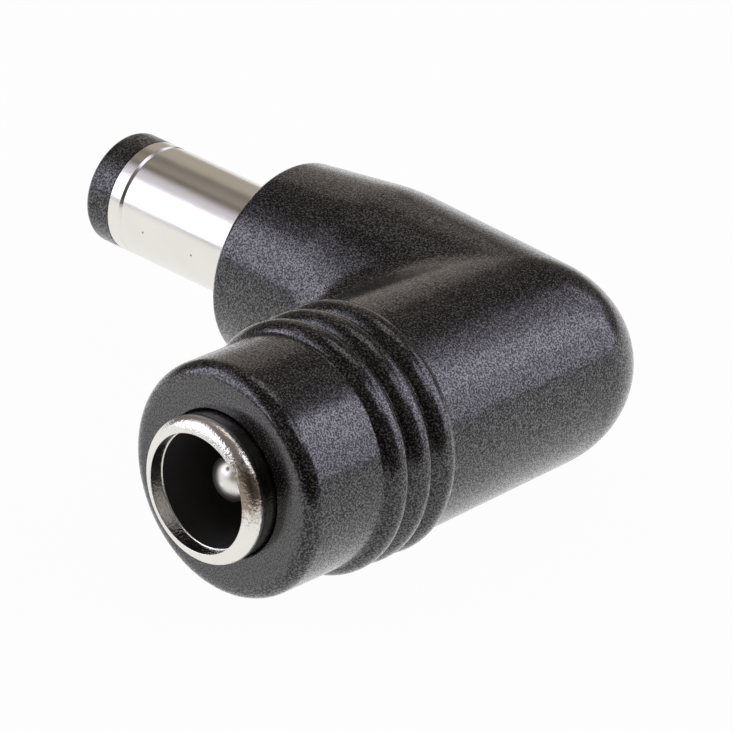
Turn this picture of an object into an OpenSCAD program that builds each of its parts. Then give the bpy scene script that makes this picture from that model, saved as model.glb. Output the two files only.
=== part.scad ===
// Right-angle DC power adapter: a barrel jack and a barrel plug joined by a moulded elbow.
// Millimetres. The jack faces -Y, the plug points along -X and Z is up.
// Stations are distances along an arm, measured outwards from the point where the two axes cross.

/* [Moulded elbow] */
// Radius of both arms where their axes cross
arm_r = 5.41; // [5.1:0.01:5.8]
// Growth of an arm's radius for each millimetre away from the elbow
arm_taper = 0.027; // [0.01:0.001:0.045]
// Degrees past square at which an arm runs into the rounded outer corner
corner_turn = 15; // [8:0.5:24]
// Degrees from an arm's axis at which it runs into the blended inner crook
crook_turn = 34.2; // [31:0.1:40]

/* [Jack arm] */
// Station of the flat nose
nose_s = 18.7; // [17.6:0.05:20]
// Radius of the collar at the nose
nose_r = 5.6; // [5.4:0.01:5.8]
// Radius of the nose's rounded edge
nose_round = 0.8; // [0.4:0.05:1.2]
// Radius of the collar where it meets the ribs
collar_r = 5.56; // [5.4:0.01:5.7]
// Outer radius of the grip ribs
rib_r = 6.02; // [5.95:0.01:6.3]
// Radius of a rib's rounded back
rib_round = 0.87; // [0.8:0.01:1]
// Distance from one rib to the next
rib_pitch = 1.53; // [1.45:0.01:1.65]
// Station of the middle rib
rib_mid_s = 11.62; // [11.3:0.01:12.2]

/* [Plug arm] */
// Station where the arm starts to narrow towards the plug
neck_s = 8.4; // [8:0.05:9.5]
// Station of the shoulder that the barrel leaves
shoulder_s = 14.03; // [13.2:0.01:15]
// Radius of the shoulder
shoulder_r = 4.9; // [4.4:0.01:5.2]
// Radius of the shoulder's rounded edge
shoulder_round = 0.4; // [0.2:0.05:0.8]

/* [Jack shell] */
// Station of the lip's front
mouth_s = 20.17; // [19.6:0.01:21.2]
// Outer radius of the shell
shell_r = 3.5; // [3.45:0.01:3.7]
// Sheet thickness of the shell
shell_wall = 0.2; // [0.15:0.01:0.25]
// Radius of the opening in the lip
lip_r = 2.83; // [2.8:0.01:2.86]
// Depth of the lip
lip_depth = 0.59; // [0.5:0.01:0.75]
// Radius of the lip's rounded outer edge
lip_round = 0.32; // [0.2:0.01:0.4]
// Length of the lip's drawn-in taper
lip_len = 0.73; // [0.5:0.01:0.9]
// Angle of the lip's drawn-in taper
lip_draw = 15; // [5:1:20]
// Bevel at the lip's inner edge
lip_bevel = 0.06; // [0.03:0.01:0.1]
// Station of the back of the jack
jack_back_s = 9.6; // [9.3:0.05:10.2]
// Distance from the back of the cup to the back of the shell
shell_back = 0.3; // [0.1:0.05:0.6]

/* [Jack insulator and contacts] */
// Wall thickness of the cup
cup_wall = 0.27; // [0.22:0.01:0.28]
// Thickness of the cup's floor
cup_floor = 2; // [1.6:0.05:2.6]
// Radius of the centre pin
pin_r = 1.05; // [0.98:0.01:1.1]
// Station of the tip of the centre pin
pin_tip_s = 18.6; // [17.6:0.05:19.2]
// Height of the pin's domed end
pin_dome = 0.5; // [0.3:0.05:0.9]
// Radius of the pin's stop collar
pin_stop_r = 1.5; // [1.3:0.05:1.8]
// Length of the pin's stop collar
pin_stop = 0.8; // [0.7:0.05:1.2]
// Width of the leaf contact
leaf_w = 1.6; // [1.2:0.05:1.8]
// Thickness of the leaf contact
leaf_t = 0.25; // [0.2:0.01:0.28]
// Depth that the leaf is let into the cup's wall
leaf_seat = 0.14; // [0.1:0.01:0.16]
// Rise of the leaf's bow towards the axis
leaf_bow = 0.2; // [0.15:0.01:0.28]
// Length of the leaf's bow
leaf_span = 5; // [4:0.1:5.5]
// Length of the leaf's flat end
leaf_end = 0.25; // [0.15:0.05:0.4]

/* [Plug] */
// Outer radius of the barrel
barrel_r = 2.75; // [2.7:0.005:2.8]
// Wall thickness of the barrel
barrel_wall = 0.4; // [0.3:0.01:0.5]
// Station of the barrel's front edge
barrel_front_s = 22.95; // [21.8:0.05:24]
// Radius of the barrel's root inside the moulding
root_r = 3; // [2.95:0.01:3.2]
// Radius of the flange that anchors the root
anchor_r = 3.5; // [3.3:0.05:3.9]
// Thickness of that flange
anchor_t = 0.6; // [0.4:0.05:0.9]
// Station of the back of the root
root_back_s = 10.2; // [10:0.05:10.8]
// Depth that the moulding covers the root's front
root_cover = 0.15; // [0.1:0.01:0.18]
// Distance from the barrel's front edge back to its groove
groove_back = 0.8; // [0.5:0.05:1.2]
// Width of the groove
groove_w = 0.22; // [0.12:0.01:0.3]
// Depth of the groove
groove_d = 0.09; // [0.05:0.01:0.15]
// Length of the black nose in front of the barrel
tip_len = 1.55; // [1.1:0.05:2]
// Radius of the nose's rounded edge
tip_round = 0.4; // [0.2:0.05:0.6]
// Radius of the hole in the nose
tip_hole_r = 1.3; // [1.27:0.01:1.5]
// Length of the nose's spigot inside the barrel
tip_spigot = 2.4; // [1.8:0.05:3.2]
// Outer radius of the inner contact
contact_r = 1.6; // [1.5:0.01:1.8]
// Bore radius of the inner contact
contact_bore_r = 1.07; // [1.06:0.005:1.1]
// Length of the contact's bore
contact_depth = 10; // [9:0.1:10.8]
// Width of the slit across the contact
slit_w = 0.3; // [0.2:0.01:0.4]
// Length of the slit
slit_len = 5.5; // [4:0.1:7]
// Length of the rear bush inside the barrel
bush_len = 3; // [2.4:0.1:3.6]
// Wall of the bush's neck behind the barrel
bush_neck = 0.26; // [0.2:0.01:0.35]
// Length of the bush's neck behind the sleeve lug
bush_step = 0.6; // [0.4:0.05:0.8]
// Depth of the inner contact's front behind the barrel's edge
contact_sink = 0.05; // [0.02:0.01:0.1]
// Bevel at the mouth of the nose's hole
tip_bevel = 0.25; // [0.1:0.05:0.4]
// Bevel at the barrel's front edge
barrel_bevel = 0.04; // [0.02:0.01:0.08]
// Rim of the barrel's flange left clear round the sleeve lug
anchor_rim = 0.1; // [0.05:0.01:0.2]

/* [Lugs, wires and solder] */
// Thickness of the lugs
lug_t = 0.3; // [0.25:0.01:0.35]
// Width of the lugs' tails
lug_w = 1.4; // [1.2:0.05:1.6]
// Radius of the centre lugs' eyes
lug_eye_r = 1.3; // [1.25:0.05:1.45]
// Radius of the rivet stubs
stub_r = 0.6; // [0.5:0.02:0.7]
// Radius of the rivet heads
rivet_r = 0.95; // [0.85:0.02:1.1]
// Thickness of the rivet heads
rivet_t = 0.3; // [0.2:0.02:0.4]
// Station where all the tails end
tail_s = 6.6; // [6.4:0.05:6.9]
// Radius of the wires' copper
core_r = 0.35; // [0.3:0.01:0.4]
// Radius of the wires' insulation
jacket_r = 0.65; // [0.55:0.01:0.72]
// Bend radius of the wires
bend_r = 5; // [4.6:0.05:5.4]
// Station where the insulation is stripped
strip_s = 5.8; // [5.6:0.05:6]
// Station where the copper ends
core_s = 7.7; // [7.4:0.05:7.9]
// Radius of a solder bead
bead_r = 0.68; // [0.6:0.01:0.72]
// Station of the solder beads
bead_s = 7.3; // [7.25:0.05:7.4]

/* [Fits] */
// Height of the mould seam where the corner meets the arms; the crook's is twice as high
seam = 0.02; // [0.015:0.005:0.04]
// Gap between two assembled pieces
seat_gap = 0.02; // [0.01:0.005:0.04]
// Gap between the moulding and what it holds
mould_gap = 0.03; // [0.01:0.005:0.05]
// Width of the relief in the nose around the shell
relief = 0.12; // [0.05:0.01:0.2]

/* [Hidden] */
$fn = 96;

// The arms are two equal cones. The outer corner is the ellipsoid and the inner crook the
// hyperboloid that touch both cones all along two slanting cuts, so the skin has no crease
// but a mould seam a few hundredths high.
cone_k = arm_taper * arm_taper;
cone_m = 1 + cone_k;
pole = arm_taper * arm_r / cone_m;
corner_r2 = pow(arm_r + seam - arm_taper * pole, 2) - pole * pole;
crook_r2 = pow(arm_r + 2 * seam - arm_taper * pole, 2) - pole * pole;
corner_a = cone_m * tan(45 + corner_turn);
corner_u = (1 - cone_k + cone_m * cone_m / corner_a) / 2;
corner_v = (1 - cone_k + corner_a) / 2;
corner_z = sqrt(corner_r2 + 2 * pole * pole / corner_u);
crook_a = cone_m * tan(45 + crook_turn);
crook_u = (1 - cone_k - cone_m * cone_m / crook_a) / 2;
crook_v = (crook_a - 1 + cone_k) / 2;
crook_z2 = crook_r2 + 2 * pole * pole / crook_u;
crook_half = 0.85 * (1 / tan(crook_turn) - 1) * arm_r;
crook_steps = 12;
seam_lap = 1;

neck_r = arm_r + arm_taper * neck_s;
rib_back_s = rib_mid_s - 1.5 * rib_pitch;
rib_front_s = rib_mid_s + 1.5 * rib_pitch;
shell_in = shell_r - shell_wall;
shell_back_s = jack_back_s + shell_back;
cup_r = shell_in - seat_gap;
cup_bore_r = cup_r - cup_wall;
leaf_out = cup_bore_r + leaf_seat;
cup_front_s = mouth_s - lip_depth - seat_gap;
cup_floor_s = jack_back_s + cup_floor;
leaf_in = leaf_out - leaf_t;
leaf_mid_s = cup_floor_s + (cup_front_s - cup_floor_s) / 2;
barrel_in = barrel_r - barrel_wall;
bush_r = barrel_in - seat_gap;
tip_back_s = barrel_front_s + seat_gap;
tip_front_s = tip_back_s + tip_len;
contact_front_s = barrel_front_s - contact_sink;
root_front_s = shoulder_s - root_cover;
sleeve_lug_s = root_back_s - seat_gap - lug_t;
bush_back_s = sleeve_lug_s - bush_step;
bush_neck_r = contact_r + seat_gap + bush_neck;
dome_r = (pin_r * pin_r + pin_dome * pin_dome) / (2 * pin_dome);
lip_mid_r = shell_r - (lip_round + (lip_len - lip_round) * sin(lip_draw)) / cos(lip_draw);
center_y = core_r + seat_gap + lug_t - lug_eye_r;
sleeve_y = leaf_in - seat_gap - core_r;
x_hi = rib_r;
x_lo = -tip_front_s;
y_hi = neck_r;
y_lo = -mouth_s;

module at_rest() {
  translate([-(x_hi + x_lo) / 2, -(y_hi + y_lo) / 2, rib_r]) children();
}

module on_jack() {
  rotate([90, 0, 0]) children();
}

module on_plug() {
  rotate([0, 0, -90]) rotate([90, 0, 0]) children();
}

module tube(r_out, r_in, s0, s1) {
  difference() {
    translate([0, 0, s0]) cylinder(r = r_out, h = s1 - s0);
    translate([0, 0, s0 - 1]) cylinder(r = r_in, h = s1 - s0 + 2);
  }
}

module rod(r, s0, s1) {
  translate([0, 0, s0]) cylinder(r = r, h = s1 - s0);
}

module bar(w, y0, y1, s0, s1, g = 0) {
  translate([-w / 2 - g, y0 - g, s0 - g]) cube([w + 2 * g, y1 - y0 + 2 * g, s1 - s0 + 2 * g]);
}

// A wedge of plan between two bearings, with its edge at the pole of the elbow or just outside it
module sector(from, to, out = 0) {
  mid = (from + to) / 2;
  translate([pole + out, pole + out, -2 * arm_r]) linear_extrude(height = 4 * arm_r)
    polygon(8 * arm_r * [[0, 0], [cos(from), sin(from)], 1.4 * [cos(mid), sin(mid)], [cos(to), sin(to)]]);
}

module jack_arm() {
  on_jack() rotate_extrude() {
    polygon([[0, -arm_r], [arm_r * (1 - arm_taper), -arm_r], [arm_r + arm_taper * rib_back_s, rib_back_s],
      [collar_r, rib_back_s + rib_pitch / 2], [collar_r, rib_front_s],
      [nose_r, nose_s - nose_round], [nose_r - nose_round, nose_s - nose_round],
      [nose_r - nose_round, nose_s], [0, nose_s]]);
    translate([nose_r - nose_round, nose_s - nose_round]) circle(r = nose_round);
    for (i = [-1:1]) translate([rib_r - rib_round, rib_mid_s + i * rib_pitch]) circle(r = rib_round);
  }
}

module plug_arm() {
  on_plug() rotate_extrude() {
    polygon([[0, -arm_r], [arm_r * (1 - arm_taper), -arm_r], [neck_r, neck_s],
      [shoulder_r, shoulder_s - shoulder_round],
      [shoulder_r - shoulder_round, shoulder_s - shoulder_round],
      [shoulder_r - shoulder_round, shoulder_s], [0, shoulder_s]]);
    translate([shoulder_r - shoulder_round, shoulder_s - shoulder_round]) circle(r = shoulder_round);
  }
}

module outer_corner() {
  translate([pole, pole, 0]) rotate([0, 0, 45]) translate([-sqrt(2) * pole / corner_u, 0, 0])
    scale([corner_z / sqrt(corner_u), corner_z / sqrt(corner_v), corner_z]) sphere(r = 1);
}

module inner_crook() {
  rim = [for (i = [-crook_steps:crook_steps]) let (v = i * crook_half / crook_steps)
    [sqrt(crook_z2 + crook_v * v * v), v]];
  translate([pole, pole, 0]) rotate([0, 0, 45]) translate([-sqrt(2) * pole / crook_u, 0, 0])
    scale([1 / sqrt(crook_u), 1, 1]) rotate([90, 0, 0])
      rotate_extrude() polygon(concat([[0, -crook_half]], rim, [[0, crook_half]]));
}

module skin() {
  intersection() {
    jack_arm();
    sector(corner_turn + seam_lap, -135);
  }
  intersection() {
    plug_arm();
    sector(90 - corner_turn - seam_lap, 225);
  }
  intersection() {
    outer_corner();
    sector(corner_turn, 90 - corner_turn);
  }
  intersection() {
    inner_crook();
    sector(180 + crook_turn, 270 - crook_turn, 0.03 * arm_r);
  }
}

// A wire lies along both arms and bends round the elbow at one height
module wire(r, y, end_s) {
  on_jack() translate([0, y, 0]) rod(r, bend_r, end_s);
  on_plug() translate([0, y, 0]) rod(r, bend_r, end_s);
  translate([-bend_r, -bend_r, y]) rotate_extrude(angle = 90) translate([bend_r, 0]) circle(r = r);
}

module pin_lug(eye_s, g = 0) {
  rod(lug_eye_r + g, eye_s - g, eye_s + lug_t + g);
  bar(lug_w, -lug_eye_r, lug_t - lug_eye_r, tail_s, eye_s + lug_t, g);
}

module leaf_tail(s1, g = 0) {
  bar(lug_w, leaf_in, leaf_out, tail_s, s1, g);
}

// A bead sits against a tail's face; side says whether the tail is above or below it
module bead(y, face_y, side, g = 0) {
  bead_w = 4 * bead_r;
  bead_y = side > 0 ? face_y - bead_w - seat_gap + g : face_y + seat_gap - g;
  intersection() {
    translate([0, y, bead_s]) sphere(r = bead_r + g);
    translate([-bead_w / 2, bead_y, bead_s - bead_w / 2]) cube(bead_w);
  }
}

module center_bead(g = 0) {
  bead(center_y, lug_t - lug_eye_r, -1, g);
}

module sleeve_bead(g = 0) {
  bead(sleeve_y, leaf_in, 1, g);
}

module pockets() {
  on_jack() {
    rod(shell_r + mould_gap, jack_back_s - mould_gap, nose_s + 1);
    translate([0, 0, nose_s - relief])
      cylinder(r1 = shell_r + mould_gap, r2 = shell_r + mould_gap + 2 * relief, h = 2 * relief);
    pin_lug(jack_back_s - seat_gap - lug_t, mould_gap);
    rod(rivet_r + mould_gap, jack_back_s - 2 * seat_gap - lug_t - rivet_t - mould_gap, jack_back_s);
    leaf_tail(jack_back_s, mould_gap);
    center_bead(mould_gap);
    sleeve_bead(mould_gap);
  }
  on_plug() {
    rod(barrel_r + mould_gap, root_back_s, shoulder_s + 1);
    rod(root_r + mould_gap, root_back_s, root_front_s + mould_gap);
    rod(anchor_r + mould_gap, sleeve_lug_s - mould_gap, root_back_s + anchor_t + mould_gap);
    rod(bush_neck_r + mould_gap, bush_back_s - mould_gap, root_back_s);
    pin_lug(bush_back_s - seat_gap - lug_t, mould_gap);
    rod(rivet_r + mould_gap, bush_back_s - 2 * seat_gap - lug_t - rivet_t - mould_gap, bush_back_s);
    leaf_tail(root_back_s, mould_gap);
    center_bead(mould_gap);
    sleeve_bead(mould_gap);
  }
  wire(jacket_r + mould_gap, center_y, strip_s + mould_gap);
  wire(core_r + mould_gap, center_y, core_s + mould_gap);
  wire(jacket_r + mould_gap, sleeve_y, strip_s + mould_gap);
  wire(core_r + mould_gap, sleeve_y, core_s + mould_gap);
}

// One soft moulding over everything but the lip, the plug and its nose
module body() {
  color([0.06, 0.06, 0.065]) at_rest() difference() {
    skin();
    pockets();
  }
}

// Drawn can whose front edge is drawn in and rolled to make the lip
module jack_shell() {
  color([0.78, 0.76, 0.72]) at_rest() on_jack() rotate_extrude() {
    polygon([[shell_in, shell_back_s], [shell_r, shell_back_s], [shell_r, mouth_s - lip_len],
      [lip_mid_r, mouth_s - lip_round] + 0.99 * lip_round * [cos(lip_draw), sin(lip_draw)],
      [lip_mid_r, mouth_s - lip_round], [lip_mid_r, mouth_s],
      [lip_r + lip_bevel, mouth_s], [lip_r, mouth_s - lip_bevel], [lip_r, mouth_s - lip_depth],
      [shell_in, mouth_s - lip_depth]]);
    translate([lip_mid_r, mouth_s - lip_round]) intersection() {
      circle(r = lip_round);
      square(2 * lip_round);
    }
  }
}

// Cup that lines the shell, with a slot for the leaf contact
module jack_insulator() {
  color([0.04, 0.04, 0.045]) at_rest() on_jack() difference() {
    rod(cup_r, jack_back_s, cup_front_s);
    rod(cup_bore_r, cup_floor_s, cup_front_s + 1);
    rod(pin_r + seat_gap, jack_back_s - 1, cup_floor_s + 1);
    bar(leaf_w, leaf_in, leaf_out + 1, jack_back_s - 1, leaf_mid_s + leaf_span / 2 + leaf_end, seat_gap);
  }
}

module jack_center_pin() {
  head_s = jack_back_s - 2 * seat_gap - lug_t;
  color([0.78, 0.76, 0.72]) at_rest() on_jack() {
    rotate_extrude() intersection() {
      translate([0, jack_back_s]) square([pin_r, pin_tip_s - jack_back_s]);
      union() {
        translate([0, pin_tip_s - dome_r]) circle(r = dome_r);
        translate([0, jack_back_s]) square([dome_r, pin_tip_s - dome_r - jack_back_s]);
      }
    }
    rod(pin_stop_r, cup_floor_s + seat_gap, cup_floor_s + seat_gap + pin_stop);
    rod(stub_r, head_s - rivet_t, jack_back_s + stub_r);
    rod(rivet_r, head_s - rivet_t, head_s);
  }
}

module jack_pin_lug() {
  eye_s = jack_back_s - seat_gap - lug_t;
  color([0.8, 0.78, 0.7]) at_rest() on_jack() difference() {
    pin_lug(eye_s);
    rod(stub_r + seat_gap, eye_s - 1, eye_s + 2);
  }
}

// Leaf that bears on the mating sleeve, with its solder tail behind the cup
module jack_sleeve_spring() {
  bow_r = (pow(leaf_span / 2, 2) + leaf_bow * leaf_bow) / (2 * leaf_bow);
  color([0.8, 0.66, 0.4]) at_rest() on_jack() {
    leaf_tail(jack_back_s + leaf_w);
    bar(leaf_w, leaf_in, leaf_out, jack_back_s, leaf_mid_s - leaf_span / 2);
    bar(leaf_w, leaf_in, leaf_out, leaf_mid_s + leaf_span / 2, leaf_mid_s + leaf_span / 2 + leaf_end);
    intersection() {
      translate([-leaf_w / 2, leaf_in - leaf_bow + bow_r, leaf_mid_s]) rotate([0, 90, 0]) difference() {
        cylinder(r = bow_r, h = leaf_w, $fn = 360);
        translate([0, 0, -1]) cylinder(r = bow_r - leaf_t, h = leaf_w + 2, $fn = 360);
      }
      bar(leaf_w + 2, leaf_in - 1, leaf_out + 1, leaf_mid_s - leaf_span / 2, leaf_mid_s + leaf_span / 2);
    }
  }
}

module plug_barrel() {
  groove_s = barrel_front_s - groove_back;
  color([0.78, 0.76, 0.72]) at_rest() on_plug() rotate_extrude()
    polygon([[barrel_in, root_back_s], [anchor_r, root_back_s], [anchor_r, root_back_s + anchor_t],
      [root_r, root_back_s + anchor_t], [root_r, root_front_s], [barrel_r, root_front_s],
      [barrel_r, groove_s - groove_w / 2], [barrel_r - groove_d, groove_s],
      [barrel_r, groove_s + groove_w / 2], [barrel_r, barrel_front_s - barrel_bevel],
      [barrel_r - barrel_bevel, barrel_front_s], [barrel_in, barrel_front_s]]);
}

module plug_tip() {
  color([0.05, 0.05, 0.055]) at_rest() on_plug() difference() {
    rotate_extrude() {
      polygon([[0, tip_back_s - tip_spigot], [bush_r, tip_back_s - tip_spigot], [bush_r, tip_back_s],
        [barrel_r, tip_back_s], [barrel_r, tip_front_s - tip_round],
        [barrel_r - tip_round, tip_front_s - tip_round], [barrel_r - tip_round, tip_front_s],
        [0, tip_front_s]]);
      translate([barrel_r - tip_round, tip_front_s - tip_round]) circle(r = tip_round);
    }
    rod(contact_r + seat_gap, tip_back_s - tip_spigot - 1, contact_front_s + seat_gap);
    rod(tip_hole_r, contact_front_s, tip_front_s + 1);
    translate([0, 0, tip_front_s - tip_bevel])
      cylinder(r1 = tip_hole_r, r2 = tip_hole_r + 2 * tip_bevel, h = 2 * tip_bevel);
  }
}

// Tube with a slit across it, closed and riveted at the back
module plug_inner_contact() {
  head_s = bush_back_s - 2 * seat_gap - lug_t;
  color([0.8, 0.7, 0.45]) at_rest() on_plug() {
    difference() {
      rod(contact_r, bush_back_s, contact_front_s);
      rod(contact_bore_r, contact_front_s - contact_depth, contact_front_s + 1);
      bar(slit_w, -contact_r - 1, contact_r + 1, contact_front_s - slit_len, contact_front_s + 1);
    }
    rod(stub_r, head_s - rivet_t, bush_back_s + stub_r);
    rod(rivet_r, head_s - rivet_t, head_s);
  }
}

module plug_rear_insulator() {
  color([0.85, 0.84, 0.8]) at_rest() on_plug() difference() {
    union() {
      rod(bush_r, root_back_s + seat_gap, root_back_s + bush_len);
      rod(bush_neck_r, bush_back_s, root_back_s + 1);
    }
    rod(contact_r + seat_gap, bush_back_s - 1, root_back_s + bush_len + 1);
  }
}

module plug_center_lug() {
  eye_s = bush_back_s - seat_gap - lug_t;
  color([0.8, 0.78, 0.7]) at_rest() on_plug() difference() {
    pin_lug(eye_s);
    rod(stub_r + seat_gap, eye_s - 1, eye_s + 2);
  }
}

module plug_sleeve_lug() {
  color([0.8, 0.78, 0.7]) at_rest() on_plug() {
    tube(anchor_r - anchor_rim, bush_neck_r + seat_gap, sleeve_lug_s, sleeve_lug_s + lug_t);
    leaf_tail(sleeve_lug_s + lug_t);
  }
}

module center_wire_core() {
  color([0.72, 0.45, 0.25]) at_rest() wire(core_r, center_y, core_s);
}

module center_wire_jacket() {
  color([0.7, 0.08, 0.06]) at_rest() difference() {
    wire(jacket_r, center_y, strip_s);
    wire(core_r + seat_gap, center_y, core_s);
  }
}

module sleeve_wire_core() {
  color([0.72, 0.45, 0.25]) at_rest() wire(core_r, sleeve_y, core_s);
}

module sleeve_wire_jacket() {
  color([0.1, 0.1, 0.1]) at_rest() difference() {
    wire(jacket_r, sleeve_y, strip_s);
    wire(core_r + seat_gap, sleeve_y, core_s);
  }
}

module solder_jack_pin() {
  color([0.7, 0.71, 0.72]) at_rest() difference() {
    on_jack() center_bead();
    wire(core_r + seat_gap, center_y, core_s + seat_gap);
  }
}

module solder_jack_sleeve() {
  color([0.7, 0.71, 0.72]) at_rest() difference() {
    on_jack() sleeve_bead();
    wire(core_r + seat_gap, sleeve_y, core_s + seat_gap);
  }
}

module solder_plug_center() {
  color([0.7, 0.71, 0.72]) at_rest() difference() {
    on_plug() center_bead();
    wire(core_r + seat_gap, center_y, core_s + seat_gap);
  }
}

module solder_plug_sleeve() {
  color([0.7, 0.71, 0.72]) at_rest() difference() {
    on_plug() sleeve_bead();
    wire(core_r + seat_gap, sleeve_y, core_s + seat_gap);
  }
}

body();
jack_shell();
jack_insulator();
jack_center_pin();
jack_pin_lug();
jack_sleeve_spring();
plug_barrel();
plug_tip();
plug_inner_contact();
plug_rear_insulator();
plug_center_lug();
plug_sleeve_lug();
center_wire_core();
center_wire_jacket();
sleeve_wire_core();
sleeve_wire_jacket();
solder_jack_pin();
solder_jack_sleeve();
solder_plug_center();
solder_plug_sleeve();
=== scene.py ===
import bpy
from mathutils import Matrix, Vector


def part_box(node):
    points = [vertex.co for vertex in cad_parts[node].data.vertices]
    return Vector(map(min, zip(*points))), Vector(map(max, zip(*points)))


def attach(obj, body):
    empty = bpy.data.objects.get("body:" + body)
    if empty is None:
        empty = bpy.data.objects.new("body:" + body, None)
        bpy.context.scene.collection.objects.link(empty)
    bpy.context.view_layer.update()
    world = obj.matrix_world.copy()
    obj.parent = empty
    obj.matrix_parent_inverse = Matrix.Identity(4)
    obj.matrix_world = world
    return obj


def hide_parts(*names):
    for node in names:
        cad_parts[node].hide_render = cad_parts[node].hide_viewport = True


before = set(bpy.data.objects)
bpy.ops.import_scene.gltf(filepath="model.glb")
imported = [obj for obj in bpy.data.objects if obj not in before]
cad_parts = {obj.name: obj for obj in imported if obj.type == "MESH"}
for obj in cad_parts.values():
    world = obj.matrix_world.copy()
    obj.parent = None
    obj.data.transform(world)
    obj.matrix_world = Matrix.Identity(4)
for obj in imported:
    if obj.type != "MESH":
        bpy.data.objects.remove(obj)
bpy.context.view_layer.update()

import math

import bpy
from mathutils import Matrix, Vector

bl_info = {
    "name": "Right-angle DC adapter",
    "version": (1, 0, 0),
    "blender": (4, 5, 0),
    "location": "View3D > Sidebar > Adapter",
    "description": "Dresses the solids of a right-angle DC adapter and sets a small studio round it",
    "category": "Object",
}

MM = 0.001

# marks on the metal, in millimetres: places from the crossing, and radii
PIN_PIT = Vector((0.13, -18.395, 0.70))
PIN_PIT_RADIUS = 0.11
BARREL_PITS = (Vector((-20.58, -2.743, -0.19)), Vector((-17.40, -2.743, -0.19)))
BARREL_PIT_RADIUS = 0.05
# a mottled brown patch on the right of the lip's face: its centre and radius
LIP_BROWN_PATCH = Vector((2.9, -20.0, 1.2))
LIP_BROWN_PATCH_RADIUS = 1.6

# tints of the lamps
COOL = (0.84, 0.83, 1.0)
WARM = (1.0, 0.96, 0.95)
TAN = (1.0, 0.91, 0.82)

# each lamp's name, bearing and height in degrees, width and height in metres, power and tint
LAMPS = (
    ("left_low", 319.0, 14.6, (0.54, 0.20), 0.76, COOL),
    ("left_high", 314.0, 31.0, (0.36, 0.13), 0.27, COOL),
    ("left_top", 303.0, 44.0, (0.30, 0.12), 0.074, COOL),
    ("right_low", 139.0, 13.0, (0.36, 0.19), 0.40, COOL),
    ("right_high", 131.5, 35.0, (0.26, 0.22), 0.42, COOL),
    ("right_top", 100.0, 51.0, (0.24, 0.22), 0.28, COOL),
    ("back_right", 161.5, 30.0, (0.26, 0.26), 0.24, COOL),
    ("back_low", 221.0, 6.5, (0.26, 0.11), 0.028, TAN),
    ("back_high", 229.5, 26.0, (0.19, 0.22), 0.038, TAN),
    ("back_top", 248.0, 55.0, (0.22, 0.14), 0.016, TAN),
    ("top", 200.0, 70.0, (0.26, 0.26), 0.20, WARM),
)

# from a lamp to the crossing, in metres
LAMP_DISTANCE = 0.5


def crossing():
    """The point where the jack's axis and the plug's axis cross, read off the solids."""
    shell_low, shell_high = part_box("jack_shell")
    barrel_low, barrel_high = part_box("plug_barrel")
    return Vector((
        (shell_low.x + shell_high.x) / 2,
        (barrel_low.y + barrel_high.y) / 2,
        (shell_low.z + shell_high.z) / 2,
    ))


def length(name, description, millimetres):
    """A size, with its default in millimetres."""
    return bpy.props.FloatProperty(
        name=name, description=description, default=millimetres * MM, unit="LENGTH", precision=5
    )


def angle(name, description, degrees):
    """An angle, with its default in degrees."""
    return bpy.props.FloatProperty(
        name=name, description=description, default=math.radians(degrees), subtype="ANGLE"
    )


def colour(name, description, rgb):
    """A plain colour."""
    return bpy.props.FloatVectorProperty(
        name=name, description=description, default=rgb, size=3, subtype="COLOR", min=0.0, max=1.0
    )


def share(name, description, value):
    """A number from 0 to 1."""
    return bpy.props.FloatProperty(
        name=name, description=description, default=value, min=0.0, max=1.0, subtype="FACTOR"
    )


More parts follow.
